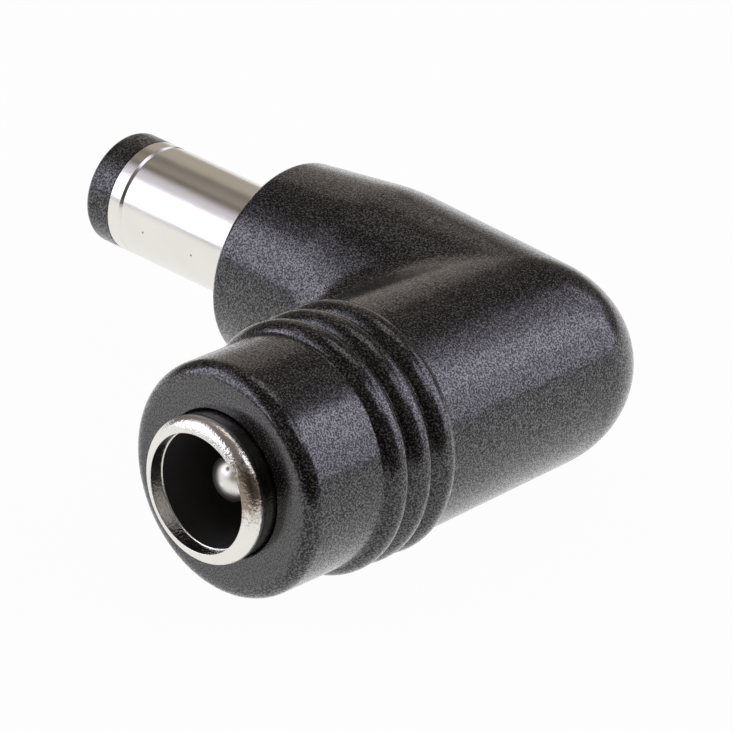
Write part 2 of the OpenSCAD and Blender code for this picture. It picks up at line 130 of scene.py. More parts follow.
class AdapterForm(bpy.types.PropertyGroup):
    """Sizes of the moulded elbow and the jack's can"""

    arm_radius: length("Arm radius", "Radius of both arms where their axes cross", 5.41)
    arm_taper: bpy.props.FloatProperty(
        name="Arm taper", description="Growth of an arm's radius along its length", default=0.027
    )
    corner_turn: angle("Corner turn", "How far past square an arm runs into the outer corner", 15)
    crook_turn: angle("Crook turn", "Bearing at which an arm runs into the inner crook", 30.8)
    elbow_reach: length("Elbow reach", "Station where the bend's rings start", 6.4)
    rib_radius: length("Rib radius", "Outer radius of the grip ribs", 6.02)
    rib_round: length("Rib round", "Radius of a rib's rounded back", 0.87)
    rib_pitch: length("Rib pitch", "Distance from one rib to the next", 1.53)
    rib_middle: length("Rib middle", "Station of the middle rib", 11.62)
    rib_blend: length("Rib blend", "Softness of the valleys beside the ribs", 0.07)
    collar_radius: length("Collar radius", "Radius of the collar where it meets the ribs", 5.56)
    nose_radius: length("Nose radius", "Radius of the collar at the nose", 5.6)
    nose_round: length("Nose round", "Radius of the nose's edge", 0.8)
    nose_station: length("Nose station", "Distance of the flat nose from the crossing", 18.7)
    hole_station: length("Hole station", "Where the hole for the jack ends in the moulding", 9.57)
    hole_relief: length("Hole relief", "Chamfer at the mouth of that hole", 0.1)
    neck_station: length("Neck station", "Station where the plug arm starts to narrow", 8.4)
    neck_round: length("Neck round", "Radius of the soft edge at the neck", 25.0)
    shoulder_station: length("Shoulder station", "Distance of the shoulder from the crossing", 14.03)
    shoulder_radius: length("Shoulder radius", "Radius of the shoulder", 4.9)
    shoulder_round: length("Shoulder round", "Radius of the shoulder's edge", 0.4)
    barrel_recess: length("Barrel recess", "Depth of the moulding's hole for the barrel", 0.12)
    tube_radius: length("Tube radius", "Outer radius of the jack's can behind its lip", 3.42)
    tube_bore: length("Tube bore", "Inner radius of the jack's can", 3.3)
    mouth_radius: length("Mouth radius", "Radius of the hole in the lip", 2.83)
    lip_radius: length("Lip radius", "Radius where the lip's face turns into its roll", 3.2)
    lip_lean: angle("Lip lean", "How far the lip's face leans back", 26)
    lip_proud: length("Lip proud", "How far the lip's crown stands past the solid's flat one", 0.08)
    lip_depth: length("Lip depth", "Depth of the lip's inner wall", 0.8)
    lip_wall: length("Lip wall", "Thickness of the lip's turned-in edge", 0.15)
    lip_edge: length("Lip edge", "Radius of the edge round the mouth", 0.03)
    lip_flare: length("Lip flare", "Length over which the can widens to its lip", 0.35)
    bead: length("Bead", "Radius of the fine bead on the lip's rear edge", 0.05)
    seat_gap: length("Seat gap", "Gap between the moulding and the metal it holds", 0.03)


class AdapterFinish(bpy.types.PropertyGroup):
    """Colours and surface of the pieces"""

    moulding: colour("Moulding", "Black soft PVC of the elbow", (0.014, 0.0135, 0.0145))
    moulding_gloss: share("Moulding roughness", "Roughness of the PVC", 0.19)
    grain: length("Grain", "Size of the moulding's grain", 0.10)
    grain_height: length("Grain height", "Height of the moulding's grain", 0.011)
    nickel: colour("Nickel", "Plated metal", (0.86, 0.84, 0.785))
    nickel_gloss: share("Nickel roughness", "Roughness of the plating", 0.22)
    # brown_patch: colour of the mottled brown patch on the right of the jack's lip
    brown_patch: colour("Stain", "Worn patch on the jack's lip", (0.24, 0.185, 0.135))
    # tarnish_and_shade: real tarnish in the pits, and painted shade on the can behind the lip
    tarnish_and_shade: colour("Tarnish", "Dark metal in pits and behind the lip", (0.05, 0.045, 0.04))
    # painted shade: the station behind which the can's plating is darkened
    shade_station: length("Dull station", "Where the can's plating turns dull behind the lip", 19.5)
    face_depth: length("Face depth", "How far behind the flat nose its gloss starts", 0.08)
    cup: colour("Cup", "Insulator inside the jack", (0.07, 0.069, 0.07))
    nose_bush: colour("Nose bush", "Black nose of the plug", (0.014, 0.014, 0.015))
    nylon: colour("Nylon", "Rear bush inside the plug", (0.72, 0.70, 0.64))
    bronze: colour("Bronze", "Springs and inner contact", (0.70, 0.52, 0.27))
    tin: colour("Tin", "Tinned lugs", (0.66, 0.65, 0.61))
    copper: colour("Copper", "Wire strands", (0.62, 0.31, 0.17))
    red_jacket: colour("Red jacket", "Insulation of the centre wire", (0.42, 0.015, 0.012))
    black_jacket: colour("Black jacket", "Insulation of the sleeve wire", (0.02, 0.02, 0.02))
    solder: colour("Solder", "Flowed solder", (0.55, 0.56, 0.57))


class AdapterStage(bpy.types.PropertyGroup):
    """Camera, floor and room"""

    azimuth: angle("Azimuth", "Camera's bearing from the front", 41.531)
    elevation: angle("Elevation", "Camera's height above the level", 26.475)
    roll: angle("Roll", "Camera's turn about its own line of sight", 3.965)
    distance: length("Distance", "Camera's distance from the crossing", 400.0)
    offset_right: length("Offset right", "Crossing's place right of the line of sight", 6.2925)
    offset_up: length("Offset up", "Crossing's place above the line of sight", 0.1221)
    lens: bpy.props.FloatProperty(
        name="Lens", description="Focal length on a 36 mm sensor", default=427.53, unit="CAMERA"
    )
    floor: colour("Floor", "Plain pale floor", (0.816, 0.816, 0.816))
    floor_reach: length("Floor reach", "How far the floor comes towards the camera", 48.0)
    room: colour("Room", "Light of the room between the lamps", (1.0, 0.88, 0.76))
    room_strength: share("Room strength", "Strength of that light", 0.17)
    dim_strength: share("Dim strength", "Its strength on the camera's side", 0.07)


class Wire:
    """A node's output that takes part in Python arithmetic by adding Math nodes."""

    def __init__(self, bench, socket):
        self.bench = bench
        self.socket = socket

    def also(self, name):
        """Another output of the same node."""
        return Wire(self.bench, self.socket.node.outputs[name])

    def _math(self, operation, *values):
        return self.bench.math(operation, *values)

    def __add__(self, other):
        return self._math("ADD", self, other)

    def __radd__(self, other):
        return self._math("ADD", other, self)

    def __sub__(self, other):
        return self._math("SUBTRACT", self, other)

    def __rsub__(self, other):
        return self._math("SUBTRACT", other, self)

    def __mul__(self, other):
        return self._math("MULTIPLY", self, other)

    def __rmul__(self, other):
        return self._math("MULTIPLY", other, self)

    def __truediv__(self, other):
        return self._math("DIVIDE", self, other)

    def __rtruediv__(self, other):
        return self._math("DIVIDE", other, self)

    def __neg__(self):
        return self._math("MULTIPLY", self, -1.0)

    def __abs__(self):
        return self._math("ABSOLUTE", self)

    def __gt__(self, other):
        return self._math("GREATER_THAN", self, other)

    def __lt__(self, other):
        return self._math("LESS_THAN", self, other)

    def root(self):
        return self._math("SQRT", self)

    def least(self, other):
        return self._math("MINIMUM", self, other)

    def most(self, other):
        return self._math("MAXIMUM", self, other)

    def held(self):
        """Kept from 0 to 1."""
        return self.most(0.0).least(1.0)


class Bench:
    """Adds nodes to one tree, in a material, a world or Geometry Nodes."""

    def __init__(self, tree):
        self.tree = tree

    def add(self, kind, settings=None, sockets=None, out=0):
        """Adds a node, sets it up, then fills or links its sockets and gives back one output."""
        node = self.tree.nodes.new(kind)
        for name, value in (settings or {}).items():
            setattr(node, name, value)
        for key, value in (sockets or {}).items():
            if isinstance(value, Wire):
                self.tree.links.new(value.socket, node.inputs[key])
            else:
                node.inputs[key].default_value = value
        return Wire(self, node.outputs[out]) if len(node.outputs) else node

    def math(self, operation, *values):
        return self.add("ShaderNodeMath", {"operation": operation}, dict(enumerate(values)))

    def either(self, choice, when_false, when_true):
        """The first value where choice is 0, the second where it is 1."""
        return when_false + choice * (when_true - when_false)

    def blend(self, factor, first, second):
        """Mixes two colours; each is three numbers or a wire."""
        sockets = {0: factor}
        for index, value in ((6, first), (7, second)):
            sockets[index] = value if isinstance(value, Wire) else (*value, 1.0)
        return self.add("ShaderNodeMix", {"data_type": "RGBA"}, sockets, out=2)


def new_material(name):
    """An empty material and a bench for its nodes."""
    material = bpy.data.materials.new(name)
    material.use_nodes = True
    material.node_tree.nodes.clear()
    return material, Bench(material.node_tree)


def close_material(bench, surface):
    """Joins a shader to the material's output."""
    bench.add("ShaderNodeOutputMaterial", None, {"Surface": surface})


def noise(bench, where, size, detail, roughness):
    """Noise whose features are about size metres across, from 0 to 1."""
    return bench.add(
        "ShaderNodeTexNoise",
        {"noise_dimensions": "3D"},
        {"Vector": where, "Scale": 1.0 / size, "Detail": detail, "Roughness": roughness},
    )


def surface_point(bench):
    """The place on the surface, in the object's own coordinates."""
    return bench.add("ShaderNodeTexCoord", out="Object")


def stretched(bench, where, factors):
    """Coordinates multiplied by a factor on each axis."""
    return bench.add("ShaderNodeVectorMath", {"operation": "MULTIPLY"}, {0: where, 1: factors})


def span(bench, where, point):
    """Distance from a fixed point."""
    return bench.add(
        "ShaderNodeVectorMath", {"operation": "DISTANCE"}, {0: where, 1: point}, out="Value"
    )


def raised(bench, height, distance):
    """A normal for a surface that rises by a distance as height goes from 0 to 1."""
    return bench.add(
        "ShaderNodeBump", None, {"Strength": 1.0, "Distance": distance, "Height": height}
    )


def shade(rgb, factor):
    """A colour made lighter or darker by a factor."""
    return [min(1.0, c * factor) for c in rgb]


def soft_pvc(name, rgb, gloss, grain, height, face=None):
    """Moulded PVC: a pebbled grain whose tops are more polished, with pale specks.

    In front of the station face on Y, if given, the skin is glossier all over."""
    material, bench = new_material(name)
    where = surface_point(bench)
    pebble = noise(bench, where, grain, 1.0, 0.6)
    speck = noise(bench, where, grain * 0.8, 0.0, 0.5)
    cloud = noise(bench, where, 2.6 * MM, 3.0, 0.55)
    pale_from, pale_gain, polish_gain = 0.54, 6.0, 3.4
    pale = ((speck - pale_from) * pale_gain).held()
    polish = ((speck - 0.5) * polish_gain + 0.5).held()
    if face is not None:
        face_edge, face_polish = 0.06 * MM, 0.4
        along = bench.add("ShaderNodeSeparateXYZ", None, {0: where}, out="Y")
        beyond = ((face - along) / face_edge).held()
        polish = (polish + beyond * face_polish).least(1.0)
    skin, fleck, uneven = shade(rgb, 0.15), shade(rgb, 5.5), 0.06
    shader = bench.add("ShaderNodeBsdfPrincipled", None, {
        "Base Color": bench.blend(pale, skin, fleck),
        "Roughness": gloss - uneven + cloud * uneven + pebble * uneven,
        "IOR": 1.37,
        "Normal": raised(bench, pebble, height),
        "Coat Weight": polish,
        "Coat Roughness": gloss,
        "Coat IOR": 1.72,
    })
    close_material(bench, shader)
    return material


def plated(name, finish, gloss, axis, dapple, pits=(), brown_patches=(), shaded=None):
    """Bright nickel: fine turning marks round an axis, dapples, a faint haze, pits, brown patches and
    painted shade.

    Each pit or brown patch is a point on the metal and a radius. Behind the station shaded on Y,
    if given, the plating is darkened as painted shade."""
    material, bench = new_material(name)
    where = surface_point(bench)
    squeeze = tuple(1.0 if index == axis else 0.04 for index in range(3))
    marks = noise(bench, stretched(bench, where, squeeze), 0.05 * MM, 3.0, 0.6)
    haze = noise(bench, where, 1.4 * MM, 3.0, 0.5)
    dimple = noise(bench, where, 0.11 * MM, 1.0, 0.6)
    height = marks + dimple * dapple
    skin = bench.blend(haze, shade(finish.nickel, 0.9), finish.nickel)
    # each brown patch: the finish's brown, mottled, fading out from its centre
    for point, radius in brown_patches:
        core, ragged, depth = 1.7, 3.0, 0.92
        mottle = noise(bench, where, 0.16 * MM, 3.0, 0.6)
        fade = core - span(bench, where, point) / radius * core
        blot = (fade + (mottle - 0.5) * ragged).held()
        skin = bench.blend(blot * depth, skin, finish.brown_patch)
    # painted shade: behind that station the can's plating is darkened towards the dark metal colour
    if shaded is not None:
        shade_edge, shade_depth = 0.15 * MM, 0.7
        along = bench.add("ShaderNodeSeparateXYZ", None, {0: where}, out="Y")
        behind = ((along - shaded) / shade_edge).held()
        skin = bench.blend(behind * shade_depth, skin, finish.tarnish_and_shade)
    for point, radius in pits:
        core, darkness, depth = 1.5, 0.9, 8.0
        hollow = (core - span(bench, where, point) / radius).held()
        skin = bench.blend(hollow * darkness, skin, finish.tarnish_and_shade)
        height = height - hollow * depth
    mark_spread, haze_spread = 0.03, 0.05
    shader = bench.add("ShaderNodeBsdfPrincipled", None, {
        "Base Color": skin,
        "Metallic": 1.0,
        "Roughness": gloss - mark_spread + haze * haze_spread + marks * mark_spread,
        "Normal": raised(bench, height, 0.0006 * MM),
    })
    close_material(bench, shader)
    return material


def moulded(name, rgb, gloss):
    """Hard moulded plastic with a fine even texture."""
    material, bench = new_material(name)
    where = surface_point(bench)
    fine = noise(bench, where, 0.09 * MM, 2.0, 0.55)
    broad = noise(bench, where, 1.1 * MM, 2.0, 0.5)
    uneven = 0.08
    shader = bench.add("ShaderNodeBsdfPrincipled", None, {
        "Base Color": bench.blend(broad, shade(rgb, 0.85), shade(rgb, 1.15)),
        "Roughness": gloss - uneven / 2 + broad * uneven,
        "IOR": 1.5,
        "Normal": raised(bench, fine, 0.003 * MM),
    })
    close_material(bench, shader)
    return material


def bare_metal(name, rgb, gloss, grain):
    """Unplated or flowed metal with a mottled tone."""
    material, bench = new_material(name)
    where = surface_point(bench)
    mottle = noise(bench, where, grain, 3.0, 0.6)
    uneven = 0.1
    shader = bench.add("ShaderNodeBsdfPrincipled", None, {
        "Base Color": bench.blend(mottle, shade(rgb, 0.8), rgb),
        "Metallic": 1.0,
        "Roughness": gloss - uneven / 2 + mottle * uneven,
        "Normal": raised(bench, mottle, 0.004 * MM),
    })
    close_material(bench, shader)
    return material


def dress(node_name, material):
    """Gives a CAD node a finish in place of its plain one."""
    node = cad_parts.get(node_name)
    if node is None:
        raise RuntimeError(f"the frame has no node named {node_name}")
    node.data.materials.clear()
    node.data.materials.append(material)


def fillet(points, steps):
    """Rounds the corners of an open line of (station, radius, rounding) points.

    A rounding takes a little less than half of the side before it and of the side after it."""
    line = []
    for i, (s, r, rounding) in enumerate(points):
        if rounding <= 0 or i in (0, len(points) - 1):
            line.append((s, r))
            continue
        here = Vector((s, r))
        back = Vector(points[i - 1][:2]) - here
        ahead = Vector(points[i + 1][:2]) - here
        half = back.angle(ahead) / 2
        room = 0.49 * min(back.length, ahead.length)
        cut = min(rounding / math.tan(half), room)
        radius = cut * math.tan(half)
        back.normalize()
        ahead.normalize()
        middle = here + (back + ahead).normalized() * radius / math.sin(half)
        first = here + back * cut - middle
        turn = first.angle_signed(here + ahead * cut - middle)
        for k in range(steps + 1):
            spoke = first.copy()
            spoke.rotate(Matrix.Rotation(-turn * k / steps, 2))
            line.append(tuple(middle + spoke))
    return line


def arc(middle, radius, start, stop, steps):
    """Points of an arc about a (station, radius) point, angles from the station's direction."""
    points = []
    for k in range(steps + 1):
        turn = start + (stop - start) * k / steps
        points.append((middle[0] + radius * math.cos(turn), middle[1] + radius * math.sin(turn)))
    return points


def spaced(line, stretches, inside):
    """Adds points so that no step is too long; each stretch is (from, to, longest step).

    Steps that keep within the radius inside stay as they are."""
    dense = [line[0]]
    for a, b in zip(line, line[1:]):
        step = max((b[0] - a[0]) ** 2 + (b[1] - a[1]) ** 2, 1e-18) ** 0.5
        longest = math.inf
        for low, high, limit in stretches:
            if max(a[1], b[1]) > inside and min(a[0], b[0]) < high and max(a[0], b[0]) > low:
                longest = min(longest, limit)
        count = max(1, math.ceil(step / longest - 1e-6))
        for k in range(1, count + 1):
            dense.append((a[0] + (b[0] - a[0]) * k / count, a[1] + (b[1] - a[1]) * k / count))
    return dense


def turned(name, line, sides, ring=False):
    """A closed lathe form about the X axis from a line of (place along X, radius) points.

    A ring's line closes on itself; any other line starts and ends on the axis."""
    vertices, rings = [], []
    for x, r in line:
        if r < 1e-9:
            rings.append([len(vertices)])
            vertices.append((x, 0.0, 0.0))
            continue
        rings.append(list(range(len(vertices), len(vertices) + sides)))
        for k in range(sides):
            t = 2 * math.pi * (k + 0.5) / sides
            vertices.append((x, r * math.cos(t), r * math.sin(t)))
    faces = []
    for low, high in zip(rings, rings[1:] + rings[:1] if ring else rings[1:]):
        for k in range(sides):
            n = (k + 1) % sides
            if len(low) == 1:
                faces.append((low[0], high[n], high[k]))
            elif len(high) == 1:
                faces.append((low[k], low[n], high[0]))
            else:
                faces.append((low[k], low[n], high[n], high[k]))
    mesh = bpy.data.meshes.new(name)
    mesh.from_pydata(vertices, [], faces)
    mesh.update()
    piece = bpy.data.objects.new(name, mesh)
    bpy.context.scene.collection.objects.link(piece)
    return piece


def elbow_blank(form):
    """The moulding before it is bent: both arms in one straight line, the jack's on the minus side."""
    barrel_low, barrel_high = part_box("plug_barrel")
    nose, shoulder = form.nose_station, form.shoulder_station
    bottom, relief = form.hole_station, form.hole_relief
    hole = form.tube_radius + form.seat_gap
    barrel_hole = (barrel_high.z - barrel_low.z) / 2 + form.seat_gap
    hole_round, edge_round = 0.02 * MM, 0.03 * MM
    reach = form.elbow_reach
    arm = form.arm_radius
    cone_end = arm + form.arm_taper * reach
    rib_back = form.rib_middle - 1.5 * form.rib_pitch
    rib_front = form.rib_middle + 1.5 * form.rib_pitch
    jack = [
        (-bottom, 0, 0),
        (-bottom, hole, 0),
        (-(nose - relief), hole, hole_round),
        (-nose, hole + relief, edge_round),
        (-nose, form.nose_radius, form.nose_round),
        (-rib_front, form.collar_radius, 0),
        (-(rib_back + form.rib_pitch / 2), form.collar_radius, 0),
        (-rib_back, arm + form.arm_taper * rib_back, 0),
        (-reach, cone_end, 0),
    ]
    neck = arm + form.arm_taper * form.neck_station
    plug = [
        (reach, cone_end, 0),
        (form.neck_station, neck, form.neck_round),
        (shoulder, form.shoulder_radius, form.shoulder_round),
        (shoulder, barrel_hole, edge_round),
        (shoulder - form.barrel_recess, barrel_hole, 0),
        (shoulder - form.barrel_recess, 0, 0),
    ]
    half_bend = 60
    bend = [(reach * k / half_bend, cone_end) for k in range(1 - half_bend, half_bend)]
    line = fillet(jack, steps=12) + bend + fillet(plug, steps=10)
    beside_ribs, rib_step = 0.3 * MM, 0.05 * MM
    arm_end, arm_step = 9.4 * MM, 0.12 * MM
    line = spaced(line, [
        (-rib_front - beside_ribs, -rib_back + beside_ribs, rib_step),
        (-arm_end, -reach, arm_step),
        (reach, arm_end, arm_step),
    ], hole + 2 * relief)
    return turned("elbow_moulding", line, sides=192)


def elbow_tree(form, material):
    """Geometry Nodes that raise the ribs on a straight blank and bend it into the elbow.

    The arms are cones. The outer corner lies on an ellipsoid and the inner crook on a hyperboloid,
    each tangent to both cones, and a point of the mitred blank moves onto them along its ray from
    the elbow's pole."""
    tree = bpy.data.node_groups.new("Moulded elbow", "GeometryNodeTree")
    face = tree.interface
    face.new_socket("Blank", in_out="INPUT", socket_type="NodeSocketGeometry")
    values = {}

    def entry(name, value, kind="NodeSocketFloat"):
        values[face.new_socket(name, in_out="INPUT", socket_type=kind).identifier] = value

    point = crossing()
    entry("Crossing", tuple(point), "NodeSocketVector")
    entry("Arm Radius", form.arm_radius)
    entry("Arm Taper", form.arm_taper)
    entry("Corner Turn", form.corner_turn)
    entry("Crook Turn", form.crook_turn)
    entry("Elbow Reach", form.elbow_reach)
    entry("Rib Radius", form.rib_radius)
    entry("Rib Round", form.rib_round)
    entry("Rib Pitch", form.rib_pitch)
    entry("Rib Middle", form.rib_middle)
    entry("Rib Blend", form.rib_blend)
    entry("Skin", material, "NodeSocketMaterial")
    face.new_socket("Elbow", in_out="OUTPUT", socket_type="NodeSocketGeometry")

    bench = Bench(tree)
    blank = bench.add("NodeGroupInput")
    arm, taper = blank.also("Arm Radius"), blank.also("Arm Taper")
    place = bench.add("GeometryNodeInputPosition")
    along = bench.add("ShaderNodeSeparateXYZ", None, {0: place})
    out, up = along.also("Y"), along.also("Z")
    plug_side = along > 0.0
    station = abs(along)

    # ribs on the jack arm
    middle, pitch = blank.also("Rib Middle"), blank.also("Rib Pitch")
    round_r = blank.also("Rib Round")
    index = bench.math("ROUND", (station - middle) / pitch).least(1.0).most(-1.0)
    offset = station - middle - index * pitch
    swell = (round_r * round_r - offset * offset).most(0.0).root()
    crest = blank.also("Rib Radius") - round_r + swell
    radius = (out * out + up * up).root()
    ribbed = bench.math("SMOOTH_MAX", radius, crest, blank.also("Rib Blend"))
    near = (abs(station - middle) < pitch * 1.5 + round_r * 0.25) * (1.0 - plug_side)
    near = near * (radius > arm)
    radius_now = bench.either(near, radius, ribbed)

    # the bend's rings slide along each arm to the mitre
    reach = blank.also("Elbow Reach")
    in_bend = station < reach
    cosine = out / radius.most(1e-9)
    sine = up / radius.most(1e-9)
    mitre = -(arm * cosine) / (1.0 + taper * cosine)
    slid = reach - (reach - station) * (reach - mitre) / reach
    along_arm = bench.either(in_bend, station, slid)
    cone = arm + taper * along_arm
    swollen = bench.either(in_bend, radius_now / cone, 1.0)
    outward, height = cone * cosine, cone * sine
    x = bench.either(plug_side, outward, -along_arm)
    y = bench.either(plug_side, -along_arm, outward)

    # corner and crook
    steep = taper * taper
    stretch = 1.0 + steep
    pole = taper * arm / stretch
    lean = arm - taper * pole
    pole_r2 = lean * lean - pole * pole
    quarter = math.pi / 4
    corner = stretch * bench.math("TANGENT", blank.also("Corner Turn") + quarter)
    crook = stretch * bench.math("TANGENT", blank.also("Crook Turn") + quarter)
    flat = 1.0 - steep
    corner_u, corner_v = (flat + stretch * stretch / corner) / 2, (flat + corner) / 2
    crook_u, crook_v = (flat - stretch * stretch / crook) / 2, (flat - crook) / 2
    root2 = math.sqrt(2)
    u = (x + y) / root2 - pole * root2
    v = (x - y) / root2
    outside = u > 0.0
    coef_u = bench.either(outside, crook_u, corner_u)
    coef_v = bench.either(outside, crook_v, corner_v)
    turn = bench.either(outside, blank.also("Crook Turn"), blank.also("Corner Turn"))
    inside_wedge = abs(v) < abs(u) * bench.math("TANGENT", quarter - turn)
    centre = -(pole * root2) / coef_u
    size2 = pole_r2 + 2.0 * pole * pole / coef_u
    a = coef_u * u * u + coef_v * v * v + height * height
    b = coef_u * centre * u
    c = coef_u * centre * centre - size2
    ray = (b + (b * b - a * c).most(0.0).root()) / a
    move = bench.either(inside_wedge, 1.0, ray)
    true_x = bench.either(plug_side, outward * swollen, -along_arm)
    true_y = bench.either(plug_side, -along_arm, outward * swollen)
    final = bench.add("ShaderNodeCombineXYZ", None, {
        0: pole + (true_x - pole) * move,
        1: pole + (true_y - pole) * move,
        2: height * swollen * move,
    })
    placed = bench.add(
        "ShaderNodeVectorMath", {"operation": "ADD"}, {0: final, 1: blank.also("Crossing")}
    )
    shape = bench.add(
        "GeometryNodeSetPosition", None, {"Geometry": blank.also("Blank"), "Position": placed}
    )
    turned_out = bench.add("GeometryNodeFlipFaces", None, {"Mesh": shape})
    smooth = bench.add("GeometryNodeSetShadeSmooth", None, {"Geometry": turned_out})
    whole = bench.add("GeometryNodeRealizeInstances", None, {"Geometry": smooth})
    skinned = bench.add(
        "GeometryNodeSetMaterial", None, {"Geometry": whole, "Material": blank.also("Skin")}
    )
    bench.add("NodeGroupOutput", None, {"Elbow": skinned})
    return tree, values


def plain_mesh(piece, tree, values):
    """Runs a tree on a piece and keeps the result as the piece's own mesh."""
    modifier = piece.modifiers.new(tree.name, "NODES")
    modifier.node_group = tree
    for identifier, value in values.items():
        modifier[identifier] = value
    bpy.context.view_layer.update()
    evaluated = piece.evaluated_get(bpy.context.evaluated_depsgraph_get())
    result = bpy.data.meshes.new_from_object(evaluated)
    piece.modifiers.remove(modifier)
    piece.data = result
    return piece


def rolled_can(form):
    """The jack's can: a tube whose front rolls in to the mouth, with a fine bead behind the lip."""
    low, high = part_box("jack_shell")
    cup_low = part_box("jack_insulator")[0]
    point = crossing()
    rear, outer = point.y - high.y, (high.x - low.x) / 2
    front = point.y - low.y + form.lip_proud
    mouth, edge, bead, lean = form.mouth_radius, form.lip_edge, form.bead, form.lip_lean
    tube, bore, flare = form.tube_radius, form.tube_bore, form.lip_flare
    roll = (outer - form.lip_radius) / (1 - math.sin(lean))
    start = front - (form.lip_radius - mouth - edge) * math.tan(lean)
    crest = start - roll * math.cos(lean)
    quarter, flare_steps = math.pi / 2, 8
    line = [(rear, bore), (rear, tube), (crest - flare, tube)]
    for k in range(1, flare_steps + 1):
        rise = 0.5 - 0.5 * math.cos(math.pi * k / flare_steps)
        line.append((crest - flare * (1 - k / flare_steps), tube + (outer - tube) * rise))
    line += arc((crest, outer - roll), roll, quarter, lean, steps=32)[1:]
    line += arc((front - edge, mouth + edge), edge, 0.0, -quarter, steps=6)
    back = front - form.lip_depth
    line += arc((back + bead, mouth), bead, 0.0, -math.pi, steps=12)
    cup_front = point.y - cup_low.y + form.seat_gap
    turned_in = mouth + form.lip_wall
    line += [(back, turned_in), (cup_front, turned_in), (cup_front, bore)]
    piece = turned("jack_can", line, sides=160, ring=True)
    piece.data.transform(Matrix((
        (0, 1, 0, point.x),
        (-1, 0, 0, point.y),
        (0, 0, 1, point.z),
        (0, 0, 0, 1),
    )))
    piece.data.polygons.foreach_set("use_smooth", [True] * len(piece.data.polygons))
    piece.data.set_sharp_from_angle(angle=math.radians(40))
    return piece


class ADAPTER_OT_mould_elbow(bpy.types.Operator):
    """Moulds the elbow with its ribs, collar, nose and shoulder over the body's solid"""

    bl_idname = "adapter.mould_elbow"
    bl_label = "Mould elbow"

    def execute(self, context):
        form, finish = context.scene.adapter_form, context.scene.adapter_finish
        skin = soft_pvc(
            "black_pvc", finish.moulding, finish.moulding_gloss, finish.grain, finish.grain_height,
            face=crossing().y - form.nose_station + finish.face_depth,
        )
        piece = elbow_blank(form)
        tree, values = elbow_tree(form, skin)
        plain_mesh(piece, tree, values)
        if len(piece.data.polygons) < 1000:
            raise RuntimeError("the elbow's tree gave no surface")
        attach(piece, "root")
        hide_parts("body")
        return {"FINISHED"}


class ADAPTER_OT_plate_metal(bpy.types.Operator):
    """Rolls the jack's can and plates it, its pin and the plug's barrel"""

    bl_idname = "adapter.plate_metal"
    bl_label = "Plate metal"

    def execute(self, context):
        finish = context.scene.adapter_finish
        point, gloss = crossing(), finish.nickel_gloss
        pin_pit = (point + PIN_PIT * MM, PIN_PIT_RADIUS * MM)
        barrel_pits = [(point + pit * MM, BARREL_PIT_RADIUS * MM) for pit in BARREL_PITS]
        lip_patch = (point + LIP_BROWN_PATCH * MM, LIP_BROWN_PATCH_RADIUS * MM)
        # the jack's can gets a mottled brown patch on its lip, and painted shade behind the lip
        jack = plated(
            "nickel_jack", finish, gloss, axis=1, dapple=30.0,
            brown_patches=[lip_patch], shaded=point.y - finish.shade_station,
        )
        pin = plated("nickel_pin", finish, gloss + 0.12, axis=1, dapple=6.0, pits=[pin_pit])
        plug = plated("nickel_plug", finish, gloss - 0.02, axis=0, dapple=4.0, pits=barrel_pits)
        can = rolled_can(context.scene.adapter_form)
        can.data.materials.append(jack)
        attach(can, "root")
        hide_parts("jack_shell")
        dress("jack_center_pin", pin)
        dress("plug_barrel", plug)
        return {"FINISHED"}


class ADAPTER_OT_colour_insulators(bpy.types.Operator):
    """Colours the jack's cup, the plug's nose and its rear bush"""

    bl_idname = "adapter.colour_insulators"
    bl_label = "Colour insulators"

    def execute(self, context):
        finish = context.scene.adapter_finish
        dress("jack_insulator", moulded("cup_black", finish.cup, gloss=0.7))
        dress("plug_tip", soft_pvc(
            "nose_black", finish.nose_bush, gloss=0.3,
            grain=finish.grain, height=finish.grain_height,
        ))
        dress("plug_rear_insulator", moulded("natural_nylon", finish.nylon, gloss=0.45))
        return {"FINISHED"}


class ADAPTER_OT_finish_contacts(bpy.types.Operator):
    """Finishes the leaf, the inner contact and the lugs"""

    bl_idname = "adapter.finish_contacts"
    bl_label = "Finish contacts"

    def execute(self, context):
        finish = context.scene.adapter_finish
        spring = bare_metal("spring_bronze", finish.bronze, gloss=0.3, grain=0.4 * MM)
        lug = bare_metal("tinned_brass", finish.tin, gloss=0.32, grain=0.3 * MM)
        for name in ("jack_sleeve_spring", "plug_inner_contact"):
            dress(name, spring)
        for name in ("jack_pin_lug", "plug_center_lug", "plug_sleeve_lug"):
            dress(name, lug)
        return {"FINISHED"}


class ADAPTER_OT_finish_wiring(bpy.types.Operator):
    """Finishes the two wires and their soldered joints"""

    bl_idname = "adapter.finish_wiring"
    bl_label = "Finish wiring"

    def execute(self, context):
        finish = context.scene.adapter_finish
        strand = bare_metal("copper", finish.copper, gloss=0.3, grain=0.12 * MM)
        bead = bare_metal("solder", finish.solder, gloss=0.25, grain=0.5 * MM)
        for name in ("center_wire_core", "sleeve_wire_core"):
            dress(name, strand)
        dress("center_wire_jacket", moulded("red_jacket", finish.red_jacket, gloss=0.4))
        dress("sleeve_wire_jacket", moulded("black_jacket", finish.black_jacket, gloss=0.4))
        for joint in ("jack_pin", "jack_sleeve", "plug_center", "plug_sleeve"):
            dress(f"solder_{joint}", bead)
        return {"FINISHED"}


def way(bearing, height):
    """The direction at a bearing from the front and a height above the level."""
    level = math.cos(height)
    return Vector((math.sin(bearing) * level, -math.cos(bearing) * level, math.sin(height)))


